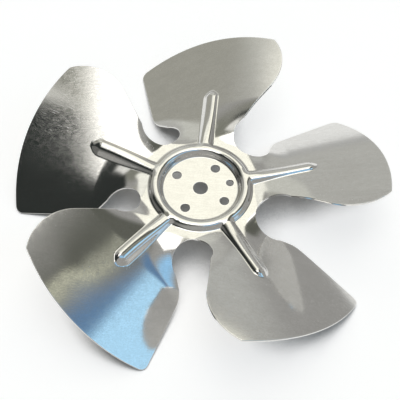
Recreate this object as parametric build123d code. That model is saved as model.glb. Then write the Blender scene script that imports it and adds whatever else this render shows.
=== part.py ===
from build123d import *
import os
from math import cos, pi, radians, sin, sqrt, tan

# Pressed one-piece fan blade, all sizes in mm and degrees.
# Origin: centre of the bore on the hub's rear face.
# +Z: out of the ribbed front face.  +X: along the rib next to the locating hole.

# Sheet
SHEET = 1.0
BLADE_COUNT = 5
FAN_DIAMETER = 172.0

# Hub: sunk disc, ring bead round it, flat flange outside the bead
BORE_DIAMETER = 6.6
BOLT_CIRCLE = 25.4
BOLT_HOLE = 4.2
BOLT_COUNT = 4
BOLT_START = 45.0
LOCATING_HOLE = 3.4
LOCATING_RADIUS = 13.7
RING_RADIUS = 20.5
RING_CREST = 2.3
RING_WALL = 58.0
RING_RISE = 3.1
FLANGE_STEP = 1.0
BEND_LINE = 24.6

# Blade: pitch grows from the bend line to the pitch line
PITCH = 26.2
PITCH_LINE = 46.4
CAMBER = 0.0025
CONING = 0.042
TIP_SHIFT = 2.0

# Rib along each blade
RIB_WIDTH = 6.6
RIB_RISE = 2.0
RIB_END = 54.4
RIB_NOSE = 4.5
RIB_FLARE = 2.6
GROOVE_FOOT = 2.6
GROOVE_TOP = 0.7

# Blade outline, drawn on the pitched blade: x from the axis, v across the rib,
# positive towards the low edge
NOTCH_CENTRE = 36.4
NOTCH_RADIUS = 8.7
LOW_START_ANGLE = -30.0
LOW_HEEL = (41.9, 30.2)
LOW_HEEL_FILLET = 11.0
LOW_CORNER_ANGLE = 28.2
LOW_CORNER_FILLET = 3.5
HIGH_START_ANGLE = 61.0
HIGH_SHOULDER = (52.5, -30.2)
HIGH_BULGE = (66.0, -34.6)
HIGH_CORNER_ANGLE = -21.8
HIGH_CORNER_FILLET = 0.8

SECTOR = 360.0 / BLADE_COUNT
NOTCH_INSIDE = 0.92
TIP_RADIUS = FAN_DIAMETER / 2
HALF_SPAN = 0.55 * TIP_RADIUS
FLANGE_FRONT = SHEET + FLANGE_STEP
DEEP = 0.4 * FAN_DIAMETER


def turn(x):
    """Share of the full pitch that the blade has reached at x."""
    share = min(max((x - BEND_LINE) / (PITCH_LINE - BEND_LINE), 0.0), 1.0)
    return sin(share * pi / 2)


def sheet_height(x, y, depth):
    """Height of the blade's face at x, y; depth is measured square to the sheet."""
    slope = turn(x) * tan(radians(PITCH))
    lift = FLANGE_FRONT + CONING * (x - BEND_LINE)
    return lift - slope * y - turn(x) * CAMBER * y * y - depth * sqrt(1 + slope * slope)


def bow(x, y_from, y_to):
    """Lift of the middle control point that makes a section follow the camber."""
    return turn(x) * CAMBER * (y_to - y_from) ** 2 / 4


def skin(x, y_from, y_to, depth):
    """One face of the blade's section at x, a single parabola."""
    middle = (y_from + y_to) / 2
    return Bezier(
        (y_from, sheet_height(x, y_from, depth)),
        (middle, sheet_height(x, middle, depth) + bow(x, y_from, y_to)),
        (y_to, sheet_height(x, y_to, depth)),
    )


def across(x, edges):
    """Closed section from its edges, stood square to the blade's length at x."""
    return Plane((x, 0, 0), x_dir=(0, 1, 0), z_dir=(1, 0, 0)) * make_face(edges)


def blade_section(x):
    front = skin(x, -HALF_SPAN, HALF_SPAN, 0)
    rear = skin(x, HALF_SPAN, -HALF_SPAN, SHEET)
    return across(x, [front, Line(front @ 1, rear @ 0), rear, Line(rear @ 1, front @ 0)])


def rib_size(x):
    """Share of the rib's full height at x: falls away at the nose, past zero at its end."""
    along = max((x - RIB_END + RIB_NOSE) / RIB_NOSE, 0.0)
    return 1 - along * along


def rib_flare(x):
    """Extra half width of the rib at x, where it runs into the ring."""
    short = max((BEND_LINE - x) / (BEND_LINE - RING_RADIUS), 0.0)
    return RIB_FLARE * short * short


def rib_section(x):
    """Round arch that rises through the front skin; its base lies inside the sheet."""
    base = SHEET / 2
    height = RIB_RISE * rib_size(x) + base
    half = RIB_WIDTH / 2 * sqrt((RIB_RISE + base) / RIB_RISE) + rib_flare(x)
    half *= 0.4 + 0.6 * max(rib_size(x), 0.0)
    third = half / 3
    crown = height * 4 / 3 + bow(x, -third, third)
    arch = Bezier(
        (-half, sheet_height(x, -half, base)),
        (-third, sheet_height(x, -third, base) + crown),
        (third, sheet_height(x, third, base) + crown),
        (half, sheet_height(x, half, base)),
    )
    return across(x, [arch, Line(arch @ 1, arch @ 0)])


def groove_section(x):
    """Flat-topped groove under the rib; its mouth lies behind the rear skin."""
    mouth = GROOVE_FOOT + (GROOVE_FOOT - GROOVE_TOP) / RIB_RISE * SHEET + rib_flare(x)
    mouth *= 0.4 + 0.6 * max(rib_size(x), 0.0)
    top = (GROOVE_TOP + rib_flare(x)) * (0.4 + 0.6 * max(rib_size(x), 0.0))
    rise = RIB_RISE * rib_size(x) + SHEET
    corners = [
        (-mouth, sheet_height(x, -mouth, 2 * SHEET)),
        (-top, sheet_height(x, -top, 2 * SHEET) + rise),
        (top, sheet_height(x, top, 2 * SHEET) + rise),
        (mouth, sheet_height(x, mouth, 2 * SHEET)),
    ]
    return across(x, [Line(corners[k - 1], corners[k]) for k in range(4)])


def along_blade(section):
    """Rib or groove from the ring's crest to the nose, following the blade's twist."""
    nose_start = RIB_END - RIB_NOSE
    nose_end = RIB_END + 0.1 * RIB_NOSE
    root = [RING_RADIUS, (RING_RADIUS + BEND_LINE) / 2, BEND_LINE]
    bar = loft([section(x) for x in root])
    bar += loft([section(x) for x in twist_stations()])
    bar += loft([section(PITCH_LINE), section(nose_start)])
    bar += loft([section(nose_start), section((nose_start + nose_end) / 2), section(nose_end)])
    return bar


def twist_stations():
    return [BEND_LINE + (PITCH_LINE - BEND_LINE) * k / 3 for k in range(4)]


def flat_v(x, y):
    """Place across the pitched blade of the point that lies over x, y."""
    drop = turn(x) * (tan(radians(PITCH)) * y + CAMBER * y * y)
    return y * cos(radians(PITCH)) + drop * sin(radians(PITCH))


def notch_start(side, angle):
    """Point just inside the notch on one side, where the blade's edge leaves it."""
    middle = radians(SECTOR / 2)
    x = NOTCH_CENTRE * cos(middle) + NOTCH_INSIDE * NOTCH_RADIUS * cos(radians(angle))
    y = side * NOTCH_CENTRE * sin(middle) + NOTCH_INSIDE * NOTCH_RADIUS * sin(radians(angle))
    return (x, flat_v(x, y))


def tip_point(angle):
    turned = radians(angle)
    return (TIP_RADIUS * cos(turned), TIP_SHIFT + TIP_RADIUS * sin(turned))


def blade_outline():
    """Edge of one blade, on the pitched blade plane."""
    low_root = (BEND_LINE, 0.47 * NOTCH_CENTRE)
    high_root = (BEND_LINE, -0.47 * NOTCH_CENTRE)
    low_start = notch_start(1, LOW_START_ANGLE)
    high_start = notch_start(-1, HIGH_START_ANGLE)
    low_corner = tip_point(LOW_CORNER_ANGLE)
    high_corner = tip_point(HIGH_CORNER_ANGLE)
    tip_middle = tip_point((LOW_CORNER_ANGLE + HIGH_CORNER_ANGLE) / 2)
    edge = Curve() + [
        Polyline(low_root, low_start, LOW_HEEL, low_corner),
        ThreePointArc(low_corner, tip_middle, high_corner),
        ThreePointArc(high_corner, HIGH_BULGE, HIGH_SHOULDER),
        Polyline(HIGH_SHOULDER, high_start, high_root, low_root),
    ]
    outline = make_face(edge)
    for place, radius in [
        (LOW_HEEL, LOW_HEEL_FILLET),
        (low_corner, LOW_CORNER_FILLET),
        (high_corner, HIGH_CORNER_FILLET),
    ]:
        corner = outline.vertices().sort_by_distance((place[0], place[1], 0))[0]
        outline = fillet(corner, radius)
    return outline


def blade():
    """One plain blade from the bend line to the tip, cut square to its pitch."""
    sheet = loft([blade_section(x) for x in twist_stations()])
    sheet += loft([blade_section(PITCH_LINE), blade_section(TIP_RADIUS + 4 * SHEET)])
    tilt = radians(PITCH)
    cut_plane = Plane(
        (0, 0, FLANGE_FRONT - CONING * BEND_LINE),
        x_dir=(1, 0, CONING),
        z_dir=(-CONING * cos(tilt), sin(tilt), cos(tilt)),
    )
    return sheet & extrude(cut_plane * blade_outline(), DEEP, both=True)


def ring_wall(z, depth):
    """Distance from the ring's centre line to its wall at height z."""
    lean = radians(RING_WALL)
    shoulder_z = SHEET + RING_RISE - RING_CREST * (1 - cos(lean))
    return RING_CREST * sin(lean) + (shoulder_z - z) / tan(lean) - depth / sin(lean)


def hub_profile(depth):
    """Half profile of the hub under the face that lies depth below the front."""
    disc_top = SHEET - depth
    flange_top = FLANGE_FRONT - depth
    crest_top = SHEET + RING_RISE - depth
    inner_foot = RING_RADIUS - ring_wall(disc_top, depth)
    outer_foot = RING_RADIUS + ring_wall(flange_top, depth)
    if depth == 0:
        shoulder = RING_CREST * sin(radians(RING_WALL))
        shoulder_z = crest_top - RING_CREST * (1 - cos(radians(RING_WALL)))
        crest = ThreePointArc(
            (RING_RADIUS - shoulder, shoulder_z),
            (RING_RADIUS, crest_top),
            (RING_RADIUS + shoulder, shoulder_z),
        )
    else:
        shoulder = ring_wall(crest_top, depth)
        crest = Line((RING_RADIUS - shoulder, crest_top), (RING_RADIUS + shoulder, crest_top))
    rest = Polyline(
        crest @ 1,
        (outer_foot, flange_top),
        (BEND_LINE, flange_top),
        (BEND_LINE, -DEEP),
        (0, -DEEP),
        (0, disc_top),
        (inner_foot, disc_top),
        crest @ 0,
    )
    return make_face(Curve() + [crest, rest])


def flange_corners():
    """Flat corners that carry the flange from the hub's circle out to the bend lines."""
    sides = RegularPolygon(BEND_LINE, BLADE_COUNT, major_radius=False, rotation=SECTOR / 2)
    corners = sides - Circle(BEND_LINE - SHEET / 2)
    return extrude(Pos(0, 0, FLANGE_FRONT) * corners, -SHEET)


def fan_blade():
    """The pressed sheet: front forms added first, then the rear forms and holes cut."""
    round_hub = PolarLocations(0, BLADE_COUNT)
    body = revolve(Plane.XZ * hub_profile(0), Axis.Z) + flange_corners()
    body += round_hub * blade()
    body += round_hub * along_blade(rib_section)
    body -= revolve(Plane.XZ * hub_profile(SHEET), Axis.Z)
    body -= round_hub * along_blade(groove_section)
    notch = Cylinder(NOTCH_RADIUS, DEEP)
    body -= PolarLocations(NOTCH_CENTRE, BLADE_COUNT, SECTOR / 2) * notch
    body -= Cylinder(BORE_DIAMETER / 2, DEEP)
    body -= PolarLocations(BOLT_CIRCLE / 2, BOLT_COUNT, BOLT_START) * Cylinder(BOLT_HOLE / 2, DEEP)
    body -= Pos(LOCATING_RADIUS, 0, 0) * Cylinder(LOCATING_HOLE / 2, DEEP)
    return body


part = fan_blade()
os.makedirs("parts", exist_ok=True)
export_step(part, "parts/fan_blade.step")
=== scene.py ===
from math import atan2, cos, pi, radians, sin, sqrt, tan

import bpy
import numpy as np
from mathutils import Matrix, Vector
from mathutils.geometry import delaunay_2d_cdt
from mathutils.kdtree import KDTree

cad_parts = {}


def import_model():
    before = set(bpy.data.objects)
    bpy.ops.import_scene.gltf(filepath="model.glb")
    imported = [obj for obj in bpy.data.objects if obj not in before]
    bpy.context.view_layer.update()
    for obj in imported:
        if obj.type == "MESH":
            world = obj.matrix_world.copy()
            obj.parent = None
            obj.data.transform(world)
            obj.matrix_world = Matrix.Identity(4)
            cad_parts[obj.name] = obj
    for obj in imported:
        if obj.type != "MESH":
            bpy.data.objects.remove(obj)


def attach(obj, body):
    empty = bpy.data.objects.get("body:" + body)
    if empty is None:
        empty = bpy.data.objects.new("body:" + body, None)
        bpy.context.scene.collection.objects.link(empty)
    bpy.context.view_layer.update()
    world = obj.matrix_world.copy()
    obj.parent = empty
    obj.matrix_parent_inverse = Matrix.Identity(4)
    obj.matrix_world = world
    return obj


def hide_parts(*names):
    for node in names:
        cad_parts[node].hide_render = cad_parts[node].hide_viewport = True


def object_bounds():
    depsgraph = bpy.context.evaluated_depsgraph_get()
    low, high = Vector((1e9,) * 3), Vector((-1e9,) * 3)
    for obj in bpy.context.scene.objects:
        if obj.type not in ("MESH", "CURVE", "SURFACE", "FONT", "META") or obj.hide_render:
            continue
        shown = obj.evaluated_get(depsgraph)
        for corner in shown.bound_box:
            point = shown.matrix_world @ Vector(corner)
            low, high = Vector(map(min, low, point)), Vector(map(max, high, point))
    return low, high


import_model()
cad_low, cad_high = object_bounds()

MM = 0.001

# The sheet and the hub, in millimetres. The ring bead is a little rounder and steeper than the solid's.
SHEET = 1.0
BLADE_COUNT = 5
FAN_DIAMETER = 172.0
BORE_DIAMETER = 6.6
BOLT_CIRCLE = 25.4
BOLT_HOLE = 4.2
BOLT_COUNT = 4
BOLT_START = 45.0
LOCATING_HOLE = 3.4
LOCATING_RADIUS = 13.7
RING_RADIUS = 20.5
RING_CREST = 2.7
RING_WALL = 62.0
RING_RISE = 3.1
FLANGE_STEP = 1.0
BEND_LINE = 24.6

# The blades' pitch, their ribs and the notches between them.
PITCH = 26.2
PITCH_LINE = 46.4
CAMBER = 0.0025
CONING = 0.042
RIB_WIDTH = 6.6
RIB_RISE = 2.0
RIB_END = 54.4
RIB_NOSE = 4.5
RIB_FLARE = 2.6
NOTCH_CENTRE = 36.4
NOTCH_RADIUS = 8.7
NOTCH_INSIDE = 0.92

# One blade's edge, on the pitched blade plane.
TIP_SHIFT = 2.0
LOW_START_ANGLE = -30.0
LOW_HEEL = (41.9, 30.2)
LOW_HEEL_FILLET = 11.0
LOW_CORNER_ANGLE = 28.2
LOW_CORNER_FILLET = 3.5
HIGH_START_ANGLE = 61.0
HIGH_SHOULDER = (52.5, -30.2)
HIGH_BULGE = (66.0, -34.6)
HIGH_CORNER_ANGLE = -21.8
HIGH_CORNER_FILLET = 0.8

SECTOR = 2 * pi / BLADE_COUNT
TIP_RADIUS = FAN_DIAMETER / 2
FLANGE_FRONT = SHEET + FLANGE_STEP
CREST_TOP = SHEET + RING_RISE

# Press radii and the mesh's own spacing.
RING_BLEND = 1.1
ROOT_BLEND = 1.7
RIB_BLEND = 0.9
RIB_DIP = 0.15
RIB_FLAT = 2.7
BEND_EASE = 6.0
DENTS = [((-63.0, -31.5), 7.0, 0.2)]
EDGE_ROUND = 0.22
EDGE_STEP = 0.6
SLOPE_STEP = 0.03
COARSE = 1.05
FINE_ALONG = 0.6
FINE_ACROSS = 0.26
RING_STEP = 0.4
RING_SPOKES = 240
RING_ZONE = (16.3, 25.0)
RIB_ZONE = (57.0, 6.6)

# The metal: direction of its grain, in degrees, and its tones. The rear tone is painted shade: a darker
# copy of the front tone for the underside.
GRAIN_ANGLE = 14.5
SHEET_DARK = (0.73, 0.725, 0.705)
SHEET_PALE = (0.80, 0.79, 0.77)
SMUDGE_TONE = (0.62, 0.60, 0.57)
WORN_TONE = (0.88, 0.87, 0.85)
REAR_PAINTED_SHADE_TONE = (0.52, 0.515, 0.50)

# The floor, in metres: its tones, a painted pool of light that fades it to grey away from the part, and
# the reach of the shadow on it.
FLOOR_LIFT = 0.635
LIGHT_POOL_FADE = (0.14, 0.45)
SHADOW_REACH = 0.03
SHADOW_SHARE = (0.48, 0.70)
FLOOR_LOW = (0.58, 0.58, 0.58, 1)
FLOOR_HIGH = (0.61, 0.61, 0.61, 1)
FLOOR_OUTSIDE_LIGHT_POOL = (0.38, 0.38, 0.38, 1)
LIFT_OUTSIDE_LIGHT_POOL = 0.28
FLOOR_SIZE = 6.0

# The photograph's camera, fitted to the part's outline and holes.
CAMERA_AZIMUTH = 14.5335
CAMERA_ELEVATION = 57.2899
CAMERA_ROLL = -2.4807
CAMERA_DISTANCE = 465.83
CAMERA_SIDE = 0.2076
CAMERA_RISE = 5.4799
CAMERA_LENS = 92.59


def rotated(points, angle):
    c, s = cos(angle), sin(angle)
    return points @ np.array([[c, s], [-s, c]])


def smooth_max(a, b, width):
    """The higher of two heights, with a press radius where they cross."""
    near = np.clip(1 - np.abs(a - b) / width, 0, 1)
    return np.maximum(a, b) + width * near * near / 4


def past_bend(x):
    """Distance past the bend line, eased in over a press radius."""
    past = np.maximum(x - BEND_LINE + BEND_EASE / 2, 0)
    return np.where(past < BEND_EASE, past * past / (2 * BEND_EASE), past - BEND_EASE / 2)


def turn(x):
    share = np.clip(past_bend(x) / (PITCH_LINE - BEND_LINE), 0, 1)
    return np.sin(share * pi / 2)


def blade_skin(x, y):
    """Front of the plain sheet, along the blade and across it."""
    lift = FLANGE_FRONT + CONING * past_bend(x)
    return lift - turn(x) * (tan(radians(PITCH)) * y + CAMBER * y * y)


def rib_arch(x, y):
    """Height of the rib's arch above the front skin; below it beside and past the rib."""
    base = SHEET
    along = np.maximum((x - RIB_END + RIB_NOSE) / RIB_NOSE, 0)
    size = np.clip(1 - along * along, -base / RIB_RISE, 1)
    short = np.clip((BEND_LINE - x) / (BEND_LINE - RING_RADIUS), 0, 1)
    height = RIB_RISE * size + base - RIB_DIP * short * short
    half = RIB_WIDTH / 2 * ((RIB_RISE + base) / RIB_RISE) ** (1 / RIB_FLAT)
    half = half + RIB_FLARE * short * short
    half = half * (0.4 + 0.6 * np.maximum(size, 0))
    return height * (1 - np.abs(y / half) ** RIB_FLAT) - base


def ring_bead(r):
    lean = radians(RING_WALL)
    off = np.abs(r - RING_RADIUS)
    shoulder = RING_CREST * sin(lean)
    crown = np.sqrt(np.maximum(RING_CREST**2 - off * off, 0)) - RING_CREST
    wall = -RING_CREST * (1 - cos(lean)) - (off - shoulder) * tan(lean)
    return CREST_TOP + np.where(off < shoulder, crown, wall)


def along_across(x, y):
    """Place in the nearest blade's own directions."""
    angle = np.arctan2(y, x)
    own = angle - np.round(angle / SECTOR) * SECTOR
    r = np.hypot(x, y)
    return r * np.cos(own), r * np.sin(own), r


def dents(x, y):
    """Shallow waves that handling has left in the blades."""
    depth = np.zeros_like(x)
    for (place_x, place_y), reach, deep in DENTS:
        depth = depth + deep * np.exp(-((x - place_x) ** 2 + (y - place_y) ** 2) / (2 * reach**2))
    return depth


def front_height(x, y):
    along, across, r = along_across(x, y)
    ribbed = blade_skin(along, across) + dents(x, y)
    ribbed = ribbed + smooth_max(np.zeros_like(ribbed), rib_arch(along, across), RIB_BLEND)
    bead = ring_bead(r)
    inside = smooth_max(np.full_like(bead, SHEET), bead, RING_BLEND)
    outside = smooth_max(ribbed, bead, ROOT_BLEND)
    return np.where(r < RING_RADIUS, inside, outside)


def front_normal(x, y):
    step = SLOPE_STEP
    slope_x = (front_height(x + step, y) - front_height(x - step, y)) / (2 * step)
    slope_y = (front_height(x, y + step) - front_height(x, y - step)) / (2 * step)
    normal = np.stack([-slope_x, -slope_y, np.ones_like(slope_x)], axis=1)
    return normal / np.linalg.norm(normal, axis=1, keepdims=True)


def line(start, end):
    count = max(int(np.hypot(end[0] - start[0], end[1] - start[1]) / EDGE_STEP), 1)
    share = np.linspace(0, 1, count + 1)[:, None]
    return (1 - share) * np.array(start) + share * np.array(end)


def arc(centre, radius, angle_from, angle_to):
    count = max(int(abs(angle_to - angle_from) * radius / EDGE_STEP), 6)
    angles = np.linspace(angle_from, angle_to, count + 1)
    return np.stack([centre[0] + radius * np.cos(angles), centre[1] + radius * np.sin(angles)], axis=1)


def arc_through(start, middle, end):
    """Arc through three points."""
    (ax, ay), (bx, by), (cx, cy) = start, middle, end
    d = 2 * (ax * (by - cy) + bx * (cy - ay) + cx * (ay - by))
    a2, b2, c2 = ax * ax + ay * ay, bx * bx + by * by, cx * cx + cy * cy
    centre = (
        (a2 * (by - cy) + b2 * (cy - ay) + c2 * (ay - by)) / d,
        (a2 * (cx - bx) + b2 * (ax - cx) + c2 * (bx - ax)) / d,
    )
    angles = np.unwrap([atan2(p[1] - centre[1], p[0] - centre[0]) for p in (start, middle, end)])
    return arc(centre, np.hypot(ax - centre[0], ay - centre[1]), angles[0], angles[2])


def trimmed(path, length):
    """A path without its first length."""
    steps = np.hypot(*np.diff(path, axis=0).T)
    reach = np.concatenate([[0], np.cumsum(steps)])
    first = [np.interp(length, reach, path[:, 0]), np.interp(length, reach, path[:, 1])]
    return np.concatenate([[first], path[reach > length + 0.05]])


def joined(before, after, radius):
    """Two paths that meet in a corner, with the corner rounded."""
    corner = before[-1]
    into = (before[-2] - corner) / np.linalg.norm(before[-2] - corner)
    out = (after[1] - corner) / np.linalg.norm(after[1] - corner)
    half = np.arccos(np.clip(into @ out, -1, 1)) / 2
    cut = radius / tan(half)
    before = trimmed(before[::-1], cut)[::-1]
    after = trimmed(after, cut)
    count = max(int((pi - 2 * half) * radius / EDGE_STEP), 6)
    t = np.linspace(0, 1, count + 1)[1:-1, None]
    weight = sin(half)
    blend = (1 - t) ** 2 * before[-1] + 2 * t * (1 - t) * weight * corner + t**2 * after[0]
    blend = blend / ((1 - t) ** 2 + 2 * t * (1 - t) * weight + t**2)
    return np.concatenate([before, blend, after])


def on_plan(outline):
    """Plan places of a flat outline that is cut through the sheet square to its pitch."""
    tilt = radians(PITCH)
    along = np.array([1, 0, CONING]) / sqrt(1 + CONING**2)
    square = np.array([-CONING * cos(tilt), sin(tilt), cos(tilt)])
    square = square / np.linalg.norm(square)
    across = np.cross(square, along)
    start = np.array([0, 0, FLANGE_FRONT - CONING * BEND_LINE])
    flat = start + outline[:, :1] * along + outline[:, 1:] * across
    lift = np.zeros(len(flat))
    for _ in range(12):
        place = flat + lift[:, None] * square
        lift = lift + (blade_skin(place[:, 0], place[:, 1]) - place[:, 2]) * square[2]
    return (flat + lift[:, None] * square)[:, :2]


def flat_v(x, y):
    drop = turn(x) * (tan(radians(PITCH)) * y + CAMBER * y * y)
    return y * cos(radians(PITCH)) + drop * sin(radians(PITCH))


def notch_start(side, angle):
    x = NOTCH_CENTRE * cos(SECTOR / 2) + NOTCH_INSIDE * NOTCH_RADIUS * cos(radians(angle))
    y = side * NOTCH_CENTRE * sin(SECTOR / 2) + NOTCH_INSIDE * NOTCH_RADIUS * sin(radians(angle))
    return (x, flat_v(x, y))


def tip_point(angle):
    turned = radians(angle)
    return (TIP_RADIUS * cos(turned), TIP_SHIFT + TIP_RADIUS * sin(turned))


def blade_edge():
    """One blade's edge in plan, from one notch round the tip to the other."""
    low_corner = tip_point(LOW_CORNER_ANGLE)
    high_corner = tip_point(HIGH_CORNER_ANGLE)
    tip_middle = tip_point((LOW_CORNER_ANGLE + HIGH_CORNER_ANGLE) / 2)
    edge = joined(
        line(notch_start(1, LOW_START_ANGLE), LOW_HEEL),
        line(LOW_HEEL, low_corner),
        LOW_HEEL_FILLET,
    )
    edge = joined(edge, arc_through(low_corner, tip_middle, high_corner), LOW_CORNER_FILLET)
    edge = joined(edge, arc_through(high_corner, HIGH_BULGE, HIGH_SHOULDER), HIGH_CORNER_FILLET)
    edge = np.concatenate([edge, line(HIGH_SHOULDER, notch_start(-1, HIGH_START_ANGLE))[1:]])
    return on_plan(edge)


def outside_notch(edge, centre):
    """The edge without its first part, which lies in the notch, cut where it leaves it."""
    off = np.hypot(*(edge - centre).T)
    first = int(np.argmax(off > NOTCH_RADIUS))
    share = (NOTCH_RADIUS - off[first - 1]) / (off[first] - off[first - 1])
    crossing = edge[first - 1] + share * (edge[first] - edge[first - 1])
    keep = edge[first:]
    keep = keep[np.hypot(*(keep - crossing).T) > 0.3 * EDGE_STEP]
    return np.concatenate([[crossing], keep])


def outer_loop():
    """The whole sheet's edge in plan."""
    notch_low = NOTCH_CENTRE * np.array([cos(SECTOR / 2), sin(SECTOR / 2)])
    notch_high = NOTCH_CENTRE * np.array([cos(SECTOR / 2), -sin(SECTOR / 2)])
    edge = outside_notch(blade_edge(), notch_low)
    edge = outside_notch(edge[::-1], notch_high)[::-1]
    end = edge[-1] - notch_high
    following = rotated(edge[:1], -SECTOR)[0] - notch_high
    angle_from = atan2(end[1], end[0])
    angle_to = atan2(following[1], following[0])
    if angle_to < angle_from:
        angle_to += 2 * pi
    notch = arc(notch_high, NOTCH_RADIUS, angle_from, angle_to)[1:-1]
    one = np.concatenate([edge, notch])
    return np.concatenate([rotated(one, -SECTOR * k) for k in range(BLADE_COUNT)])


def hole_loops():
    loops = [arc((0, 0), BORE_DIAMETER / 2, 0, 2 * pi)[:-1]]
    for k in range(BOLT_COUNT):
        place = radians(BOLT_START) + 2 * pi * k / BOLT_COUNT
        centre = (BOLT_CIRCLE / 2 * cos(place), BOLT_CIRCLE / 2 * sin(place))
        loops.append(arc(centre, BOLT_HOLE / 2, 0, 2 * pi)[:-1])
    loops.append(arc((LOCATING_RADIUS, 0), LOCATING_HOLE / 2, 0, 2 * pi)[:-1])
    return loops


def inside(points, loop):
    """Which points lie inside a closed loop."""
    result = np.zeros(len(points), bool)
    x, y = points[:, 0], points[:, 1]
    for (ax, ay), (bx, by) in zip(loop, np.roll(loop, -1, axis=0)):
        if ay == by:
            continue
        result ^= ((ay > y) != (by > y)) & (x < ax + (y - ay) * (bx - ax) / (by - ay))
    return result


def near_edge(points, loops):
    """Distance from each point to the nearest point of the loops."""
    every = np.concatenate(loops)
    tree = KDTree(len(every))
    for k, (x, y) in enumerate(every):
        tree.insert((x, y, 0), k)
    tree.balance()
    return np.array([tree.find((x, y, 0))[2] for x, y in points])


def staggered(low, high, step_x, step_y):
    """Rows of points, every other row moved by half a step."""
    rows = []
    for k, y in enumerate(np.arange(low[1], high[1], step_y)):
        x = np.arange(low[0] + (k % 2) * step_x / 2, high[0], step_x)
        rows.append(np.stack([x, np.full_like(x, y)], axis=1))
    return np.concatenate(rows)


def inner_points(outer, holes):
    """Points of the mesh inside the sheet: close together on the ring and the ribs."""
    reach = 1.1 * TIP_RADIUS
    plain = staggered((RING_ZONE[1], -reach), (reach, reach), COARSE, 0.87 * COARSE)
    in_rib = (plain[:, 0] < RIB_ZONE[0]) & (np.abs(plain[:, 1]) < RIB_ZONE[1] + 0.3)
    plain = plain[~in_rib]
    rib = staggered((BEND_LINE, -RIB_ZONE[1]), (RIB_ZONE[0], RIB_ZONE[1] + 0.1), FINE_ALONG, FINE_ACROSS)
    low_x = staggered((18.0, -reach), (RING_ZONE[1], reach), COARSE, 0.87 * COARSE)
    blade = np.concatenate([plain, rib, low_x[np.abs(low_x[:, 1]) > RIB_ZONE[1]]])
    r = np.hypot(*blade.T)
    border = r * np.sin(SECTOR / 2 - np.abs(np.arctan2(blade[:, 1], blade[:, 0])))
    own_sector = np.abs(np.arctan2(blade[:, 1], blade[:, 0])) < SECTOR / 2
    blade = blade[(r > RING_ZONE[1] + 0.3) & own_sector & (border > 0.4 * COARSE)]
    clear = near_edge(blade, [outer])
    blade = blade[(clear > 0.55 * COARSE) & inside(blade, outer)]
    points = [rotated(blade, SECTOR * k) for k in range(BLADE_COUNT)]
    for k, r in enumerate(np.arange(RING_ZONE[0], RING_ZONE[1], RING_STEP)):
        angles = (np.arange(RING_SPOKES) + 0.5 * (k % 2)) * 2 * pi / RING_SPOKES
        points.append(np.stack([r * np.cos(angles), r * np.sin(angles)], axis=1))
    disc = staggered((-RING_ZONE[0],) * 2, (RING_ZONE[0],) * 2, COARSE, 0.87 * COARSE)
    disc = disc[np.hypot(*disc.T) < RING_ZONE[0] - 0.4]
    for hole in holes:
        disc = disc[~inside(disc, hole)]
    points.append(disc[near_edge(disc, holes) > 0.4 * COARSE])
    return np.concatenate(points)


def triangulated(outer, holes):
    """Plan mesh of the sheet: its points and its triangles, anticlockwise."""
    loops = [outer] + holes
    points = np.concatenate(loops + [inner_points(outer, holes)])
    edges = []
    start = 0
    for loop in loops:
        count = len(loop)
        edges += [(start + k, start + (k + 1) % count) for k in range(count)]
        start += count
    made = delaunay_2d_cdt([Vector(p) for p in points], edges, [], 1, 1e-5)
    points = np.array([tuple(p) for p in made[0]])
    triangles = np.array(made[2])
    a, b, c = (points[triangles[:, k]] for k in range(3))
    area = (b[:, 0] - a[:, 0]) * (c[:, 1] - a[:, 1]) - (b[:, 1] - a[:, 1]) * (c[:, 0] - a[:, 0])
    triangles[area < 0] = triangles[area < 0][:, ::-1]
    middle = points[triangles].mean(axis=1)
    solid = inside(middle, outer)
    for hole in holes:
        solid &= ~inside(middle, hole)
    return points, triangles[solid]


def open_edges(triangles):
    """For each point on an edge of the sheet, the point that follows it there."""
    directed = {}
    for a, b, c in triangles.tolist():
        for edge in ((a, b), (b, c), (c, a)):
            directed[edge] = True
    return {a: b for a, b in directed if (b, a) not in directed}


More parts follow.
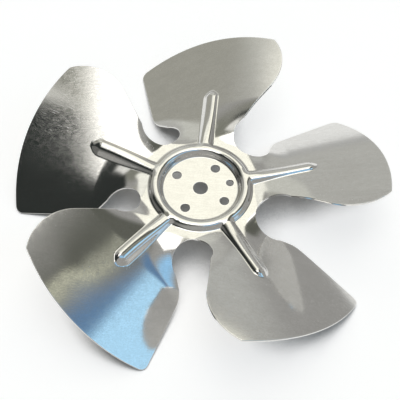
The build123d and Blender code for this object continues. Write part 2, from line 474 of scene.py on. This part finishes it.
def sheet_object():
    """The pressed sheet with its real thickness and its edges slightly rounded."""
    outer, holes = outer_loop(), hole_loops()
    points, triangles = triangulated(outer, holes)
    count = len(points)
    normal = front_normal(points[:, 0], points[:, 1])
    front = np.column_stack([points, front_height(points[:, 0], points[:, 1])])
    follow = open_edges(triangles)
    before = {b: a for a, b in follow.items()}
    rim = np.array(sorted(follow))
    ahead = np.array([follow[k] for k in rim])
    behind = np.array([before[k] for k in rim])
    run = front[ahead] - front[behind]
    out = np.cross(run, normal[rim])
    out = out / np.linalg.norm(out, axis=1, keepdims=True)
    up = normal[rim]
    edge = front[rim]
    rear = front - SHEET * normal
    soft = EDGE_ROUND
    front[rim] = edge - soft * out
    rear[rim] = edge - soft * out - SHEET * up
    rings = [
        (edge - 0.3 * soft * out - 0.3 * soft * up, out + up),
        (edge - soft * up, out),
        (edge - (SHEET - soft) * up, out),
        (edge - 0.3 * soft * out - (SHEET - 0.3 * soft) * up, out - up),
    ]
    places = np.concatenate([front, rear] + [p for p, _ in rings])
    normals = [normal, -normal]
    normals += [n / np.linalg.norm(n, axis=1, keepdims=True) for _, n in rings]
    normals = np.concatenate(normals)

    row = {int(k): i for i, k in enumerate(rim)}
    size = len(rim)
    faces = [tuple(t) for t in triangles.tolist()]
    faces += [(c + count, b + count, a + count) for a, b, c in triangles.tolist()]
    for a, b in follow.items():
        i, j = row[a], row[b]
        chain_a = [a] + [2 * count + k * size + i for k in range(4)] + [a + count]
        chain_b = [b] + [2 * count + k * size + j for k in range(4)] + [b + count]
        for k in range(5):
            faces.append((chain_a[k], chain_a[k + 1], chain_b[k + 1], chain_b[k]))

    mesh = bpy.data.meshes.new("fan_blade_sheet")
    mesh.from_pydata((places * MM).tolist(), [], faces)
    mesh.update()
    mesh.polygons.foreach_set("use_smooth", np.ones(len(mesh.polygons), bool))
    mesh.normals_split_custom_set_from_vertices(normals.tolist())

    inset = near_edge(points, [outer] + holes)
    add_values(mesh, "edge_distance", np.concatenate([inset, inset, np.zeros(4 * size)]))
    facing = np.concatenate([np.ones(count), np.zeros(count), np.full(4 * size, 0.5)])
    add_values(mesh, "facing", facing)
    obj = bpy.data.objects.new("fan_blade_sheet", mesh)
    bpy.context.scene.collection.objects.link(obj)
    return obj


def add_values(mesh, name, values):
    layer = mesh.attributes.new(name, "FLOAT", "POINT")
    layer.data.foreach_set("value", values.astype(np.float32))


class Nodes:
    """Short way to write a node tree."""

    def __init__(self, tree):
        self.tree = tree
        tree.nodes.clear()

    def add(self, kind, values=None, **settings):
        node = self.tree.nodes.new(kind)
        for key, value in settings.items():
            setattr(node, key, value)
        for key, value in (values or {}).items():
            if isinstance(value, bpy.types.NodeSocket):
                self.tree.links.new(value, node.inputs[key])
            else:
                node.inputs[key].default_value = value
        return node

    def value(self, kind, values=None, out=0, **settings):
        return self.add(kind, values, **settings).outputs[out]

    def math(self, operation, a, b=0.0, clamp=False):
        return self.value("ShaderNodeMath", {0: a, 1: b}, operation=operation, use_clamp=clamp)

    def ramp(self, value, low, high, out_low=0.0, out_high=1.0):
        values = {0: value, 1: low, 2: high, 3: out_low, 4: out_high}
        return self.value("ShaderNodeMapRange", values, interpolation_type="SMOOTHSTEP")

    def mix(self, share, a, b):
        values = {0: share, 6: a, 7: b}
        return self.value("ShaderNodeMix", values, 2, data_type="RGBA")

    def noise(self, place, scale, detail=3.0, rough=0.5):
        values = {"Vector": place, "Scale": scale, "Detail": detail, "Roughness": rough}
        return self.value("ShaderNodeTexNoise", values)


def scratches(n, place, angle):
    """Sparse fine scratches that run one way."""
    turned = n.value("ShaderNodeMapping", {"Vector": place, "Rotation": (0, 0, radians(angle))})
    drawn = n.value("ShaderNodeMapping", {"Vector": turned, "Scale": (110, 4200, 2500)})
    mark = n.ramp(n.noise(drawn, 1.0, 1.0, 0.4), 0.70, 0.76)
    patch = n.ramp(n.noise(turned, 33.0, 2.0, 0.5), 0.50, 0.62)
    return n.math("MULTIPLY", mark, patch)


def aluminium():
    """Rolled aluminium sheet: grain one way over the whole blank, smudges and scratches, with painted
    shade darkening the rear face.
    """
    material = bpy.data.materials.new("rolled_aluminium")
    material.use_nodes = True
    n = Nodes(material.node_tree)
    place = n.value("ShaderNodeTexCoord", out=3)
    turned = n.value(
        "ShaderNodeMapping",
        {"Vector": place, "Rotation": (0, 0, radians(GRAIN_ANGLE))},
    )
    fine = n.value("ShaderNodeMapping", {"Vector": turned, "Scale": (90, 2600, 2600)})
    grain = n.noise(fine, 1.0, 3.0, 0.6)
    wide = n.value("ShaderNodeMapping", {"Vector": turned, "Scale": (10, 240, 240)})
    bands = n.noise(wide, 1.0, 4.0, 0.6)
    drawn = n.value("ShaderNodeMapping", {"Vector": turned, "Scale": (150, 2000, 2000)})
    streaks = n.noise(drawn, 1.0, 3.0, 0.6)
    speckle = n.noise(place, 1900.0, 2.0, 0.6)
    clouds = n.noise(place, 40.0, 4.0, 0.55)
    mottle = n.noise(place, 430.0, 3.0, 0.65)
    smudge = n.ramp(n.noise(place, 24.0, 5.0, 0.62), 0.55, 0.75)
    edge = n.value("ShaderNodeAttribute", out=2, attribute_name="edge_distance")
    worn = n.ramp(edge, 0.05, 0.7, 1.0, 0.0)
    facing = n.value("ShaderNodeAttribute", out=2, attribute_name="facing")
    rear = n.ramp(facing, 0.0, 0.4, 1.0, 0.0)
    scratch = n.math("MAXIMUM", scratches(n, place, 38.0), scratches(n, place, -61.0))

    tone = n.mix(n.ramp(bands, 0.25, 0.75), (*SHEET_DARK, 1), (*SHEET_PALE, 1))
    tone = n.mix(n.ramp(speckle, 0.3, 0.7, 0.0, 0.4), tone, (*SMUDGE_TONE, 1))
    tone = n.mix(n.ramp(mottle, 0.35, 0.7, 0.0, 0.25), tone, (*SMUDGE_TONE, 1))
    tone = n.mix(n.ramp(streaks, 0.3, 0.7, 0.0, 0.3), tone, (*SMUDGE_TONE, 1))
    tone = n.mix(n.math("MULTIPLY", smudge, 0.3), tone, (*SMUDGE_TONE, 1))
    tone = n.mix(n.math("MULTIPLY", worn, 0.5), tone, (*WORN_TONE, 1))
    # Painted shade: the rear face is mixed towards a darker tone to stand for the shade beneath the
    # sheet.
    tone = n.mix(n.math("MULTIPLY", rear, 0.8), tone, (*REAR_PAINTED_SHADE_TONE, 1))
    rough = n.ramp(clouds, 0.3, 0.7, 0.07, 0.088)
    rough = n.math("ADD", rough, n.ramp(speckle, 0.3, 0.7, -0.01, 0.02))
    rough = n.math("ADD", rough, n.ramp(mottle, 0.35, 0.7, -0.012, 0.02))
    rough = n.math("ADD", rough, n.ramp(streaks, 0.3, 0.7, -0.012, 0.02))
    rough = n.math("ADD", rough, n.math("MULTIPLY", smudge, 0.03))
    rough = n.math("ADD", rough, n.math("MULTIPLY", scratch, 0.22))
    rough = n.math("ADD", rough, n.math("MULTIPLY", rear, 0.14))

    height = n.math("ADD", grain, n.math("MULTIPLY", speckle, 0.5))
    height = n.math("ADD", height, n.math("MULTIPLY", mottle, 0.25))
    height = n.math("ADD", height, n.math("MULTIPLY", streaks, 0.7))
    bump = n.value("ShaderNodeBump", {"Strength": 0.045, "Distance": 0.0001, "Height": height})
    shader = n.value(
        "ShaderNodeBsdfPrincipled",
        {"Base Color": tone, "Metallic": 1.0, "Roughness": rough, "Normal": bump},
    )
    n.add("ShaderNodeOutputMaterial", {"Surface": shader})
    return material


def stage_plane(name, centre, facing, up, width, height, material):
    """Flat stage piece with its front towards facing."""
    z = Vector(facing).normalized()
    x = Vector(up).cross(z).normalized()
    y = z.cross(x)
    corners = [(-0.5, -0.5), (0.5, -0.5), (0.5, 0.5), (-0.5, 0.5)]
    places = [Vector(centre) + x * a * width + y * b * height for a, b in corners]
    mesh = bpy.data.meshes.new(name)
    mesh.from_pydata([tuple(p) for p in places], [], [(0, 1, 2, 3)])
    mesh.materials.append(material)
    obj = bpy.data.objects.new(name, mesh)
    bpy.context.scene.collection.objects.link(obj)
    return obj


def floor():
    material = bpy.data.materials.new("pale_floor")
    material.use_nodes = True
    n = Nodes(material.node_tree)
    path = n.add("ShaderNodeLightPath").outputs
    seen = n.math("ADD", path["Is Camera Ray"], path["Is Glossy Ray"])
    seen = n.math("ADD", seen, path["Is Transmission Ray"], clamp=True)
    paper = n.value("ShaderNodeTexNoise", {"Scale": 60.0, "Detail": 2.0})
    place = n.value("ShaderNodeTexCoord", out=3)
    off = n.value("ShaderNodeVectorMath", {0: place}, 1, operation="LENGTH")
    free = n.value("ShaderNodeAmbientOcclusion", {"Distance": SHADOW_REACH}, "AO", samples=16)
    lit = n.ramp(free, *SHADOW_SHARE)
    colour = n.mix(paper, FLOOR_LOW, FLOOR_HIGH)
    # Painted pool of light: the floor's colour and its lift fall to grey away from the part.
    outside_light_pool = n.ramp(off, *LIGHT_POOL_FADE)
    colour = n.mix(outside_light_pool, colour, FLOOR_OUTSIDE_LIGHT_POOL)
    matt = n.value("ShaderNodeBsdfDiffuse", {"Color": colour})
    strength = n.math("MULTIPLY", seen, lit)
    strength = n.math("MULTIPLY", strength, n.ramp(outside_light_pool, 0.0, 1.0, FLOOR_LIFT, LIFT_OUTSIDE_LIGHT_POOL))
    lift = n.value("ShaderNodeEmission", {"Strength": strength})
    both = n.value("ShaderNodeAddShader", {0: matt, 1: lift})
    n.add("ShaderNodeOutputMaterial", {"Surface": both})
    return stage_plane("floor", (0, 0, cad_low.z), (0, 0, 1), (0, 1, 0), FLOOR_SIZE, FLOOR_SIZE, material)


class Panel:
    """Soft-edged patch of the studio: place and half size in degrees from straight up."""

    def __init__(self, centre, half, soft, colour, lean=0.0, turned=0.0):
        self.centre = centre
        self.half = half
        self.soft = soft
        self.colour = colour
        self.lean = lean
        self.turned = turned


HORIZON_TONE = (0.42, 0.42, 0.405)
PANELS = [
    Panel((0, 80), (50, 18), 14, (0.57, 0.575, 0.55)),
    Panel((-8, 62), (18, 16), 12, (0.72, 0.73, 0.68)),
    Panel((62, 40), (24, 34), 20, (0.40, 0.40, 0.39)),
    Panel((44, 55), (7, 13), 10, (0.57, 0.58, 0.56)),
    Panel((-38, 60), (16, 12), 10, (0.44, 0.44, 0.395)),
    Panel((-18, 14), (14, 22), 16, (0.27, 0.275, 0.235)),
    Panel((-76, 4), (34, 46), 16, (0.17, 0.172, 0.165), lean=-0.3),
    Panel((-41, 2), (19, 34), 6, (0.035, 0.04, 0.038), lean=-0.45),
    Panel((-8, 38), (12, 9), 8, (1.20, 1.20, 1.10)),
    Panel((-25, 6), (5, 7), 4, (1.00, 1.00, 0.96)),
    Panel((37, 6), (12, 17), 12, (0.14, 0.145, 0.125)),
    Panel((32, -8.2), (4.5, 1.6), 2.4, (0.62, 0.63, 0.50), turned=-10),
    Panel((35, -5), (1.3, 2.2), 2.2, (0.45, 0.46, 0.38)),
    Panel((14, -27), (16, 6), 8, (0.40, 0.74, 1.10)),
    Panel((36, -19), (6, 7.5), 4.5, (0.15, 0.28, 0.48)),
    Panel((54.5, -22), (7.8, 12), 3.4, (0.58, 0.97, 1.30), lean=0.5),
    Panel((66, -44), (9, 6), 8, (0.60, 0.85, 1.12), turned=-25),
    Panel((0, 14), (18.2, 28), 1.4, (1.38, 1.37, 1.22), lean=0.63),
    Panel((0, -2), (17.9, 13), 1.4, (2.1, 2.09, 2.03), lean=0.63),
]


def panel_share(n, x, y, panel):
    """Share of a panel's colour at a place of the sky, 1 inside and 0 outside."""
    x = n.math("SUBTRACT", x, panel.centre[0])
    y = n.math("SUBTRACT", y, panel.centre[1])
    if panel.lean:
        shift = n.math("MULTIPLY", n.math("ADD", y, panel.centre[1]), panel.lean)
        x = n.math("SUBTRACT", x, shift)
    if panel.turned:
        c, s = cos(radians(panel.turned)), sin(radians(panel.turned))
        along = n.math("ADD", n.math("MULTIPLY", x, c), n.math("MULTIPLY", y, s))
        y = n.math("SUBTRACT", n.math("MULTIPLY", y, c), n.math("MULTIPLY", x, s))
        x = along
    shares = []
    for place, half in zip((x, y), panel.half):
        off = n.math("ABSOLUTE", place)
        shares.append(n.ramp(off, half - panel.soft / 2, half + panel.soft / 2, 1.0, 0.0))
    return n.math("MULTIPLY", *shares)


def world():
    made = bpy.data.worlds.new("studio")
    bpy.context.scene.world = made
    made.use_nodes = True
    n = Nodes(made.node_tree)
    direction = n.value("ShaderNodeTexCoord", out=0)
    parts = n.add("ShaderNodeSeparateXYZ", {0: direction}).outputs
    flat = n.math("SQRT", n.math("ADD", n.math("POWER", parts[0], 2), n.math("POWER", parts[1], 2)))
    from_top = n.math("MULTIPLY", n.math("ARCCOSINE", parts[2]), 180 / pi)
    spread = n.math("DIVIDE", from_top, n.math("MAXIMUM", flat, 0.0001))
    x = n.math("MULTIPLY", parts[0], spread)
    y = n.math("MULTIPLY", parts[1], spread)
    tone = (*HORIZON_TONE, 1)
    for panel in PANELS:
        tone = n.mix(panel_share(n, x, y, panel), tone, (*panel.colour, 1))
    shader = n.value("ShaderNodeBackground", {"Color": tone, "Strength": 1.0})
    n.add("ShaderNodeOutputWorld", {"Surface": shader})


def camera():
    az, el, roll = (radians(a) for a in (CAMERA_AZIMUTH, CAMERA_ELEVATION, CAMERA_ROLL))
    level = Vector((cos(az), -sin(az), 0))
    rise = Vector((sin(az) * sin(el), cos(az) * sin(el), cos(el)))
    ahead = Vector((sin(az) * cos(el), cos(az) * cos(el), -sin(el)))
    right = level * cos(roll) - rise * sin(roll)
    up = level * sin(roll) + rise * cos(roll)
    place = Vector((0, 0, SHEET)) - right * CAMERA_SIDE - up * CAMERA_RISE - ahead * CAMERA_DISTANCE
    made = bpy.data.objects.new("camera", bpy.data.cameras.new("camera"))
    made.data.lens = CAMERA_LENS
    made.data.sensor_width = 36.0
    made.data.clip_start = 0.01
    made.data.clip_end = 50.0
    turned = Matrix((right, up, -ahead)).transposed().to_4x4()
    made.matrix_world = Matrix.Translation(place * MM) @ turned
    bpy.context.scene.collection.objects.link(made)
    bpy.context.scene.camera = made


sheet = sheet_object()
sheet.data.materials.append(aluminium())
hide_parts("fan_blade")
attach(sheet, "root")

floor()
world()
camera()

bpy.context.scene.view_settings.view_transform = "Standard"
